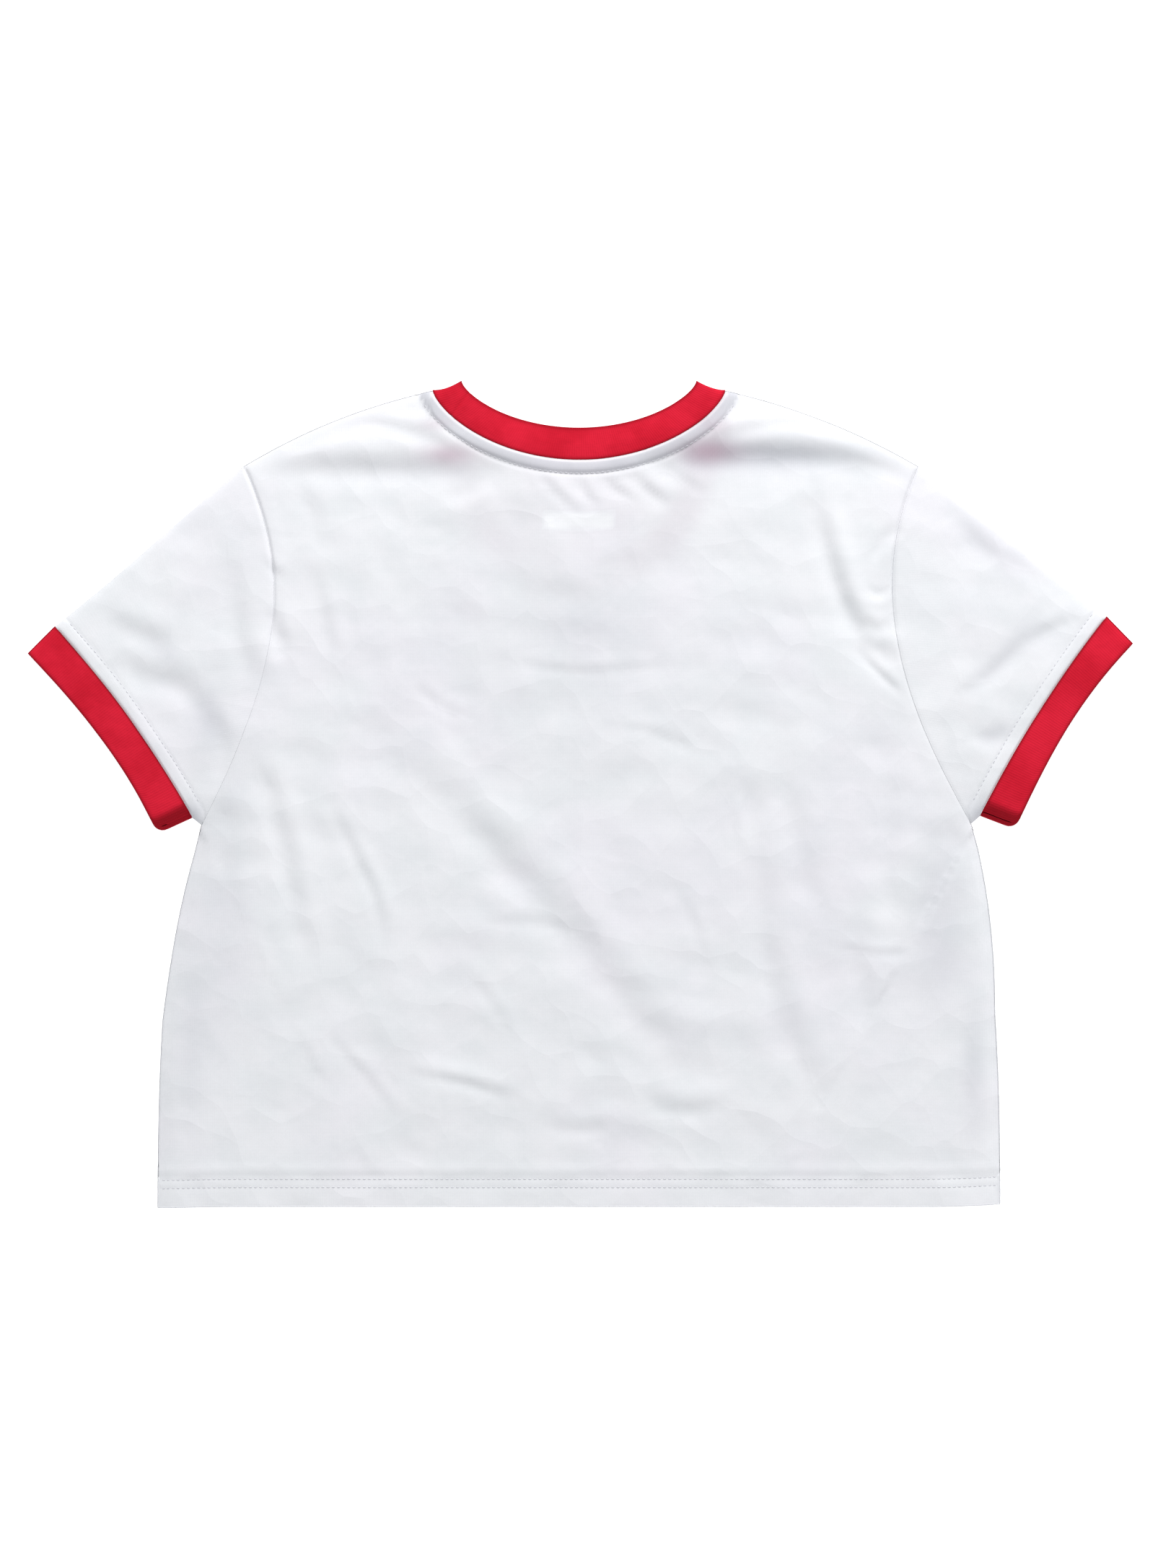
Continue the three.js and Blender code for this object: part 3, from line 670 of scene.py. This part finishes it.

# ---- Sleeves ----
# Each is one short tube of the same jersey, pressed flat and sewn into the armhole. Its cuff end is drawn in
# by the rib.
fold_top = shoulder_tip + 8 * overarm_way
fold_bottom = underarm + 3 * underarm_way
fold_run = (fold_bottom - fold_top) / np.linalg.norm(fold_bottom - fold_top)
hinge_way = np.array([-fold_run[1], fold_run[0]])
# The strip of rows round the hinge line runs from 2.5 mm short of it to 4 mm past it.
zone = np.array([-2.5, 4.0])


def tube(outer, inner):
    """Points and quads of a walled tube pressed flat: axis 0 runs along it and axis 1 goes round it."""
    m, n = outer.shape[:2]
    index = np.arange(m * n).reshape(m, n)
    after = np.roll(index, -1, 1)
    quads = np.stack([index[:-1], index[1:], after[1:], after[:-1]], -1).reshape(-1, 4)
    start = np.stack([index[0], after[0], after[0] + m * n, index[0] + m * n], -1)
    end = np.stack([index[-1] + m * n, after[-1] + m * n, after[-1], index[-1]], -1)
    quads = np.concatenate([quads, quads[:, ::-1] + m * n, start, end])
    return np.concatenate([outer.reshape(-1, 3), inner.reshape(-1, 3)]), quads


def flattened(top, low, wall, swell=0.7):
    """Outer and inner faces of a flat tube. Across the upper layer, round a soft fold, back along the lower
    layer, and round the other fold. The inner face stands one wall inside the outer."""

    def fold_end(a, b, inward):
        """The turn from one layer to the other: half a circle seen from the end, a little swollen."""
        way = a[..., :2] - inward[..., :2]
        way = way / np.maximum(np.linalg.norm(way, axis=-1, keepdims=True), 1e-6)
        turns = np.radians([45, 90, 135])[None, :, None]
        share = (1 - np.cos(turns)) / 2
        flat = mix(a[..., :2], b[..., :2], share) + way * np.sin(turns) * swell
        return np.concatenate([flat, mix(a[..., 2:], b[..., 2:], share)], -1)

    round_last = fold_end(top[:, -1:], low[:, -1:], top[:, -3:-2])
    round_first = fold_end(low[:, :1], top[:, :1], top[:, 2:3])
    outer = np.concatenate([top, round_last, low[:, ::-1], round_first], 1)
    inner_top, inner_low = top.copy(), low.copy()
    inner_low[..., 2] += wall
    inner_top[..., 2] = np.maximum(top[..., 2] - wall, inner_low[..., 2] + 0.1)
    station = np.arange(top.shape[1])
    station = np.clip(station, 2, len(station) - 3)
    inner_top, inner_low = inner_top[:, station], inner_low[:, station]
    between = np.array([0.25, 0.5, 0.75])[None, :, None]
    inner_last = mix(inner_top[:, -1:], inner_low[:, -1:], between)
    inner_first = mix(inner_low[:, :1], inner_top[:, :1], between)
    return outer, np.concatenate([inner_top, inner_last, inner_low[:, ::-1], inner_first], 1)


def on_table(p, z=0.0):
    """Points of the cut as they lie in the lower layer, this far above the table."""
    return np.concatenate([laid(p), np.broadcast_to(z, p.shape[:-1])[..., None]], -1)


def across_stations(count):
    """Stations across a sleeve or cuff from 0 to 1, closest together at its two folded ends."""
    t = np.linspace(0, 1, count)
    return (1 - np.cos(np.pi * t)) / 2 * 0.45 + t * 0.55


def sleeve_plan(c, s):
    """The sleeve's cut, c from the top of the sleeve to the underarm and s from the armhole to the cuff
    seam: the first 0.3 of s is the cap, up to 0.5 is the strip round the hinge line, and the rest runs on to
    the cuff."""
    c, s = np.meshgrid(c, s)
    high = fold_top + overarm_way * (zone / (overarm_way @ hinge_way))[:, None]
    low = fold_bottom + underarm_way * (zone / (underarm_way @ hinge_way))[:, None]
    near, far = mix(high[0], low[0], c[..., None]), mix(high[1], low[1], c[..., None])
    start = armhole(c)
    end = cuff_seam(c)
    s = s[..., None]
    cap = mix(start, near, np.clip(s / 0.3, 0, 1))
    strip = mix(near, far, np.clip((s - 0.3) / 0.2, 0, 1))
    rest = mix(far, end, np.clip((s - 0.5) / 0.5, 0, 1))
    return np.where(s < 0.3, cap, np.where(s < 0.5, strip, rest))


def ring_weave(plan):
    """Cloth coordinates round a tube: distance round it and along it, from its own points."""
    step = np.linalg.norm(np.diff(np.concatenate([plan, plan[:, :1]], 1), axis=1), axis=-1)
    round_it = np.concatenate([np.zeros((len(plan), 1)), np.cumsum(step[:, :-1], 1)], 1)
    round_it = np.broadcast_to(round_it.max(0), round_it.shape)
    rows = np.linalg.norm(np.diff(plan[:, : plan.shape[1] // 2].mean(1), axis=0), axis=-1)
    along_it = np.broadcast_to(np.append(0, np.cumsum(rows))[:, None], round_it.shape)
    weave = np.stack([round_it, along_it], -1).reshape(-1, 2)
    return np.concatenate([weave, weave])


cap_rows = np.array([0, 0.6, 1.4, 2.6, 4.2, 6.4, 9, 12, 15, 18, 21, 24, 27, 30]) / 30 * 0.3
strip_rows = np.linspace(0.3, 0.5, 15)[1:]
end_rows = 1 - np.array([0, 0.5, 1.1, 1.8, 3, 4.6, 6, 7, 7.6, 8, 8.5, 9.3, 10.5, 12.5]) / 135 * 0.5
cuff_rows = np.linspace(0.5, end_rows[-1], 50)[1:-1]
sleeve_rows = np.concatenate([cap_rows, strip_rows, cuff_rows, end_rows[::-1]])
# Painted shade in the sleeves' hollows: a path, its width and how much.
shaded_hollows = [
    ([(-226, 66), (-222, 44), (-222, 20)], 10, 0.6),
    ([(-266, 96), (-250, 86), (-234, 74)], 7, 0.4),
    ([(288, 108), (258, 85), (228, 56)], 8, 0.42),
    ([(220, 168), (248, 150), (278, 128)], 9, 0.3),
    ([(262, 44), (250, 35), (236, 34)], 5, 0.5),
]
shaded_hollows = [(curve_through(path), width, amount) for path, width, amount in shaded_hollows]
for name, mirrored in (("left_sleeve", -1.0), ("right_sleeve", 1.0)):
    plan = sleeve_plan(across_stations(92), sleeve_rows) * [mirrored, 1]
    outer, inner = flattened(upper(plan), on_table(plan), jersey_wall)
    points, faces = tube(outer, inner)
    # Painted shade on each sleeve: a dark spot under its end beside the cuff, and darker streaks along its
    # hollows, passed on as a point attribute.
    shade_amount = hump(np.linalg.norm(outer[..., :2] - laid(cuff_bottom * [mirrored, 1]), axis=-1), 8)
    for path, width, amount in shaded_hollows:
        away, share = beside(outer[..., :2], path)
        shade_amount = shade_amount + amount * hump(away, width) * np.sin(np.pi * np.clip(share, 0.05, 0.95))
    weave = ring_weave(outer[..., :2])
    marks = {"greyed": np.tile(shade_amount.ravel(), 2)}
    sleeve = new_piece(name + "_cloth", points, faces, weave, white_jersey, None, marks)
    hinge = next(np.array(joint["pos_m"]) for joint in frame["joints"] if joint["child"] == name)
    way = np.array([mirrored * hinge_way[0], hinge_way[1], 0])
    ends = [tuple(hinge + way * reach / 1000) for reach in zone]
    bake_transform(sleeve)
    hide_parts(name, name + "_cap")

# ---- Cuffs ----
# Bands of red rib knit, doubled over at the outer edge and stretched on to the end of each sleeve. Each is
# joined into a ring by a seam that lies just above its lower fold.
red_rib, shader, place, across, along = finish("red rib knit", 0.9, specular=0.06)
rib = abs((across * (np.pi / 0.0015)).sine())
loops = abs((along * (np.pi / 0.0011)).sine())
cloud = noise(place, 38, 3, 0.6)
fibre = noise(place, 1100, 2, 0.6)
tone = cloud.ramp(0.3, 0.7).tint((0.575, 0.011, 0.029, 1), (0.675, 0.016, 0.040, 1))
tone = (rib * 0.7 + fibre * 0.3).ramp(0.75, 0.1).tint(tone, (0.93, 0.86, 0.88, 1), "MULTIPLY")
shade = Signal(place.make("ShaderNodeAttribute", {"attribute_name": "in_shade"}, output=2).socket)
feed(shader, "Base Color", shade.tint(tone, (0.30, 0.006, 0.014, 1)))
soft = bump(place, noise(place, 130, 3, 0.5), 0.0007)
feed(shader, "Normal", bump(place, rib + loops * 0.25 + fibre * 0.3, 0.00009, soft))
feed(shader, "Roughness", fibre * 0.1 + 0.84)

rib_thickness = 1.6
corner_radius = 6.0
band_rows = [0, 0.015, 0.035, 0.06, 0.09, 0.13, 0.2, 0.3, 0.4, 0.5, 0.6, 0.7, 0.8, 0.87, 0.92, 0.955]
band_rows = np.array([*band_rows, 0.98, 0.993, 1])


def rounded_edge(rows, depth, thickness):
    """How much thinner each row is than the doubled rib: nothing until its folded edge, which is rounded."""
    reach = np.clip(1 - (1 - rows) * depth / (thickness / 2), 0, 1)
    return thickness * (1 - np.sqrt(1 - 0.9 * reach**2))[:, None]


def rib_shade(from_seam, depth, from_end, outer):
    """How dark a band is, on its upper layer: 1 in the groove at its seam, at its folded edge, and where its
    end turns under. Its lower layer is 0.8 all over."""
    shade = 0.95 * hump(from_seam, 1.3) + hump(depth - from_seam, 1.5) + smooth(10 - from_end, 0, 4)
    full = np.full(outer.shape[:2], 0.8)
    full[:, : shade.shape[1]] = np.clip(shade, 0, 1)
    return full.ravel()


cuff_width = 132
for side, mirrored in (("left", -1.0), ("right", 1.0)):
    c, s = np.meshgrid(across_stations(92), band_rows)
    into_corner = np.maximum(s * cuff_depth - (cuff_depth - corner_radius), 0)
    c = c * (1 - (corner_radius - np.sqrt(corner_radius**2 - into_corner**2)) / cuff_width)
    plan = mix(cuff_seam(c), cuff_fold(c), s[..., None]) * [mirrored, 1]
    thin = rounded_edge(band_rows, cuff_depth, rib_thickness)
    top = upper(plan, 0.12 * np.sin(np.pi * s))
    top[..., 2] -= thin / 2
    outer, inner = flattened(top, on_table(plan, thin / 2), rib_thickness - thin, 0.9)
    points, faces = tube(outer, inner)
    marks = {"in_shade": np.tile(rib_shade(s * cuff_depth, cuff_depth, cuff_width * (1 - c), outer), 2)}
    weave = ring_weave(outer[..., :2])
    cuff = new_piece(side + "_cuff_rib", points, faces, weave, red_rib, side + "_sleeve", marks)
    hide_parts(side + "_cuff")

# ---- Neckband ----
# A ring of the same rib, doubled over at its inner edge. It is flattened with the shirt, so it turns back on
# itself at both shoulders, and its own joining seam crosses it close to the left one.
band_depth = 19.5
c, s = np.meshgrid(across_stations(150), band_rows)
drawn_in = 0.024 * s * (1 - s)
c = mix(drawn_in, 1 - drawn_in, c)
back_plan = mix(back_neck(c), back_edge(c), s[..., None])
front_plan = mix(front_neck(c), front_edge(c), s[..., None])
thin = rounded_edge(band_rows, band_depth, rib_thickness)
seam_height = upper(back_plan[:1])[..., 2]
edge_height = 2.5 + 1.3 * smooth(np.abs(back_plan[-1:, :, 0]), 40, 66)
height = mix(seam_height, edge_height, smooth(s, 0, 1)) + 0.7 * np.sin(np.pi * s) + 0.25 * smooth(s, 0, 0.06)
join = np.abs((back_plan - (-79.5, 237)) @ np.array([0.80, -0.60]) - 8)
join = join + 30 * (back_plan[..., 0] > -40)
height = height - 0.6 * hump(join, 0.8) + 0.25 * hump(join - 2, 1.4) - thin / 2
top = np.concatenate([laid(back_plan), height[..., None]], -1)
outer, inner = flattened(top, on_table(front_plan, thin / 2), rib_thickness - thin, 0.8)
points, faces = tube(outer, inner)
marks = {"in_shade": np.tile(rib_shade(s * band_depth, band_depth, np.full_like(s, 99), outer), 2)}
weave = ring_weave(outer[..., :2])
neckband = new_piece("neckband_rib", points, faces, weave, red_rib, "torso", marks)
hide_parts("neckband")

# ---- Stitching that shows ----
# Lockstitch rows of white thread: round the back of the neck, above each cuff, and two along the hem.
white_thread, shader, place, across, along = finish("white sewing thread", 0.7, specular=0.3)
twist = ((across + along) * (2 * np.pi / 0.0007)).sine()
# The white thread is coloured a grey darker than the jersey: painted shade standing in for the dimples and
# needle holes along each row.
feed(shader, "Base Color", noise(place, 500, 2).tint((0.67, 0.67, 0.71, 1), (0.75, 0.75, 0.79, 1)))
feed(shader, "Normal", bump(place, twist, 0.00005))


def stitch_row(name, plan, node, pitch=3.1, length=2.5, thick=0.3):
    """A row of stitches along a line of the cut: each is a six-sided spindle that lies on the cloth and
    dives into it at both ends, one every pitch."""
    path = upper(plan)
    step = np.append(0, np.cumsum(np.linalg.norm(np.diff(path, axis=0), axis=1)))
    count = int(step[-1] / pitch)
    middle = (np.arange(count) + 0.5) * step[-1] / count
    start, end = (
        np.stack([np.interp(d, step, path[:, k]) for k in range(3)], -1)
        for d in (middle - length / 2, middle + length / 2)
    )
    way = (end - start) / np.linalg.norm(end - start, axis=1, keepdims=True)
    out = np.stack([-way[:, 1], way[:, 0], 0 * way[:, 0]], -1)
    up = np.cross(way, out)
    t = np.array([0, 0.12, 0.35, 0.65, 0.88, 1])
    wide = thick * np.array([0.25, 0.75, 1, 1, 0.75, 0.25])
    sink = np.array([-0.32, -0.08, 0.06, 0.06, -0.08, -0.32])
    turn = np.arange(6) * np.pi / 3
    line = mix(start[:, None], end[:, None], t[None, :, None]) + up[:, None] * sink[None, :, None]
    ring = out[:, None, None] * np.cos(turn)[:, None] + up[:, None, None] * np.sin(turn)[:, None]
    points = line[:, :, None] + ring * wide[None, :, None, None]
    tips = [line[:, :1] - way[:, None] * 0.1, line[:, -1:] + way[:, None] * 0.1]
    points = np.concatenate([points.reshape(count, -1, 3), *tips], 1)
    index = np.arange(36).reshape(6, 6)
    after = np.roll(index, -1, 1)
    body = np.stack([index[:-1], index[1:], after[1:], after[:-1]], -1).reshape(-1, 4)
    caps = [[36, index[0, k], after[0, k], after[0, (k + 1) % 6]] for k in (0, 2, 4)]
    caps += [[37, after[-1, (k + 1) % 6], after[-1, k], index[-1, k]] for k in (0, 2, 4)]
    faces = np.concatenate([body, caps])
    faces = (faces[None] + 38 * np.arange(count)[:, None, None]).reshape(-1, 4)
    points = points.reshape(-1, 3)
    row = new_piece(name, points, faces, points[:, :2], white_thread, None)
    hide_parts(node)
    return row


def shifted(curve, distance):
    """Points of a path moved this far to its left."""
    way = np.gradient(curve, axis=0)
    way /= np.linalg.norm(way, axis=1, keepdims=True)
    return curve + np.stack([-way[:, 1], way[:, 0]], -1) * distance


neck_line = shifted(back_neck(np.linspace(0.02, 0.98, 240)), -topstitch_inset)
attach(stitch_row("neck_topstitching", neck_line, "neck_topstitch"), "torso")
for side, mirrored in (("left", -1.0), ("right", 1.0)):
    line = cuff_seam(np.linspace(0.02, 0.97, 160)) - topstitch_inset * cuff_out
    row = stitch_row(side + "_cuff_topstitching", line * [mirrored, 1], side + "_cuff_topstitch")
    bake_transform(row)
for name, above in hem_row_heights.items():
    x = np.linspace(-hem_half + 2, hem_half - 2, 300)
    line = np.stack([x, 0 * x + hem_y + above], -1)
    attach(stitch_row("hem_row_" + name, line, "back_hem_stitch_" + name), "torso")

# ---- Seam allowances, tape and hem threads inside ----
# Each seam's raw edges are bound together by an overlocked strip 5 mm wide, which lies just inside it. The
# back of the neck has a woven tape over its seam. Covering threads hold down the front hem's raw edge.
overlock, shader, place, across, along = finish("overlocked seam allowance", 0.85)
loop = abs(((along + abs((across * (np.pi / 0.0022)).sine()) * 0.0008) * (np.pi / 0.0012)).sine())
feed(shader, "Base Color", loop.tint((0.70, 0.71, 0.73, 1), (0.84, 0.845, 0.86, 1)))
feed(shader, "Normal", bump(place, loop, 0.0003))
twill, shader, place, across, along = finish("white twill tape", 0.8)
chevron = abs(((across + abs((along * (np.pi / 0.009)).sine()) * 0.004) * (np.pi / 0.0008)).sine())
feed(shader, "Base Color", chevron.tint((0.74, 0.745, 0.76, 1), (0.83, 0.835, 0.85, 1)))
feed(shader, "Normal", bump(place, chevron, 0.00015))


def strip_beside(curve, start, end, near, far, steps=120):
    """Cut points of a strip to the left of a curve, between two shares of its length and two distances."""
    path = curve(np.linspace(start, end, steps))
    return np.stack([shifted(path, d) for d in np.linspace(near, far, 5)])


def inside_strip(name, plan, node, material, hung=None, floor=1.05, thick=0.6, blend=None):
    """A thin strip between the layers: it lies this far above the table, on the lower one, or hangs this far
    below the upper one. It belongs to the torso, or, when it lies by a sleeve, to no body."""
    under = upper(plan)[..., 2] - 0.85
    if hung is None:
        high = np.minimum(floor + thick, under - 0.08)
        low = np.minimum(floor, high - 0.15)
    else:
        high = under - hung
        low = high - thick
    top = np.concatenate([laid(plan), high[..., None]], -1)
    bottom = np.concatenate([laid(plan), low[..., None]], -1)
    points, faces, edge = shell(top, bottom, 0.15)
    m, n = plan.shape[:2]
    length = np.append(0, np.cumsum(np.linalg.norm(np.diff(plan[0], axis=0), axis=1)))
    wide = np.linalg.norm(plan - plan[:1], axis=-1)
    weave = np.stack([wide, np.broadcast_to(length, (m, n))], -1).reshape(-1, 2)
    weave = np.concatenate([weave, weave, weave[edge]])
    piece = new_piece(name, points, faces, weave, material, None if blend else "torso")
    if blend:
        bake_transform(piece)
    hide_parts(node)
    return piece


seam_inset, seam_far = 1.5, 6.5
seam_lines = (seam_far, 4.8, 3.2, seam_inset)
tape = strip_beside(back_neck, 0.12, 0.88, -10.5, -seam_inset)
inside_strip("back_neck_tape", tape, "neck_tape", twill, hung=0.1, thick=0.5)
strip = strip_beside(front_neck, 0.06, 0.94, -seam_far, -seam_inset)
inside_strip("front_neck_allowance", strip, "front_neck_seam", overlock, floor=1.5)
x, rows = np.meshgrid(np.linspace(-hem_half + 12, hem_half - 12, 200), np.linspace(11, 17, 5))
threads = np.stack([x, hem_y + rows], -1)
inside_strip("front_hem_threads", threads, "front_hem_stitch", overlock, floor=2.2, thick=0.3)


def ring_inside(name, edge, inward, ends, node, mirrored, blend):
    """An overlocked ring just inside a round seam: one strip under the upper layer, round a tight fold at
    each end, and one on the lower layer."""
    line = edge(np.linspace(ends, 1 - ends, 80))
    plan = np.stack([line + inward * d for d in seam_lines]) * [mirrored, 1]
    high = upper(plan)
    high[..., 2] -= 1.0
    outer, inner = flattened(high, on_table(plan, 1.1), 0.6, 0.1)
    points, faces = tube(outer, inner)
    weave = ring_weave(outer[..., :2])
    piece = new_piece(name, points, faces, weave, overlock, None if blend else "torso")
    if blend:
        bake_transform(piece)
    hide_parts(node)


below_underarm = mix(fold_bottom, cuff_bottom, np.linspace(0.1, 0.7, 12)[:, None])
underarm_strip = np.stack([below_underarm - fold_run * d for d in seam_lines])
for side, mirrored in (("left", -1.0), ("right", 1.0)):
    sleeve, turn = side + "_sleeve", [mirrored, 1.0]
    strip = strip_beside(shoulder_seam, 0.06, 0.97, -seam_far, -seam_inset) * turn
    inside_strip(side + "_shoulder_allowance", strip, side + "_shoulder_seam", overlock)
    strip = strip_beside(side_seam, 0.085, 0.97, seam_far, seam_inset) * turn
    inside_strip(side + "_side_allowance", strip, side + "_side_seam", overlock)
    strip = underarm_strip * turn
    inside_strip(side + "_underarm_allowance", strip, side + "_underarm_seam", overlock, blend=sleeve)
    node = side + "_armhole_seam"
    ring_inside(side + "_armhole_allowance", armhole, np.array([-1.0, 0]), 0.07, node, mirrored, None)
    node = side + "_cuff_seam"
    ring_inside(side + "_cuff_allowance", cuff_seam, -cuff_out, 0.08, node, mirrored, sleeve)

# ---- Labels ----
# Two blank white satin labels. One hangs inside the back of the neck, and the other is caught in the left
# side seam.
satin, shader, place, _, _ = finish("white satin ribbon", 0.42, sheen=0.1, specular=0.5)
float_threads = noise(place, 700, 2, 0.5, (0.15, 1, 1))
feed(shader, "Base Color", float_threads.tint((0.84, 0.84, 0.83, 1), (0.90, 0.90, 0.89, 1)))
feed(shader, "Normal", bump(place, float_threads, 0.00008))
x, y = np.meshgrid(np.linspace(-26, 26, 40), np.linspace(151, 175, 24))
label = inside_strip("neck_label_satin", np.stack([x, y], -1), "neck_label", satin, hung=0.2, thick=0.4)
height = side_seam(np.linspace(0.4158, 0.5284, 18))
care = np.stack([shifted(height, d) for d in np.linspace(6.8, 48.8, 24)]) * [-1, 1]
label = inside_strip("care_label_satin", care, "care_label", satin, floor=1.55, thick=0.4)
